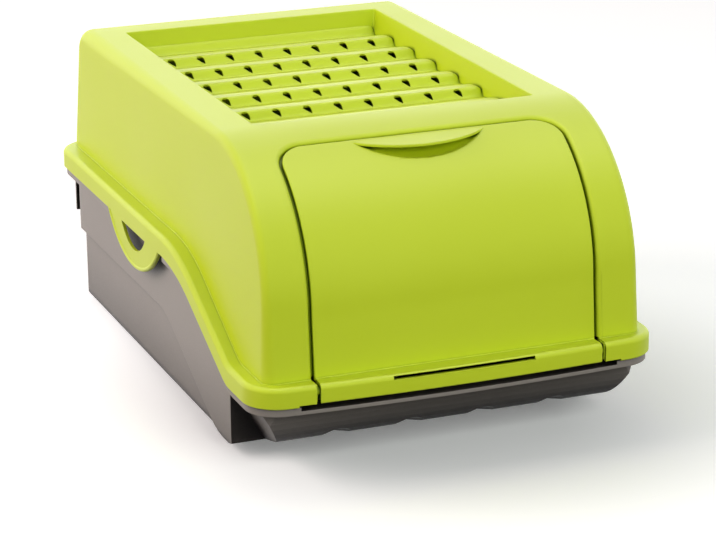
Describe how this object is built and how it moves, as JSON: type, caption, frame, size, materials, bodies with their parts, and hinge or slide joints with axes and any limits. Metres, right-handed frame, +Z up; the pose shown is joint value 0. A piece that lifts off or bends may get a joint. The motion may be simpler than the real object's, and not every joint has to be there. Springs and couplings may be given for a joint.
{
  "type": "potato storage bin",
  "caption": "Long kitchen storage bin: an open tub, a vented lift-off hood with a rounded brow, and a curved front flap that swings down.",
  "frame": {"origin": "on the floor, at the middle of the footprint", "axes": "+X is the width, towards the right seen from the front; -Y is the front, where the flap is; +Z is up"},
  "size_m": [0.28, 0.447, 0.209],
  "materials": {
    "lime_plastic": "satin",
    "taupe_plastic": "satin"
  },
  "bodies": {
    "tub_body": {"base_tub": "taupe_plastic"},
    "hood_body": {"hood": "lime_plastic"},
    "flap_body": {"front_flap": "lime_plastic"}
  },
  "joints": [
    {"name": "hood_lift", "type": "slide", "parent": "tub_body", "child": "hood_body", "axis": [0, 0, 1], "range_m": [0, 0.15]},
    {"name": "flap_hinge", "type": "hinge", "parent": "hood_body", "child": "flap_body", "pos_m": [0, -0.216, 0.0655], "axis": [1, 0, 0], "range_deg": [0, 95]}
  ]
}
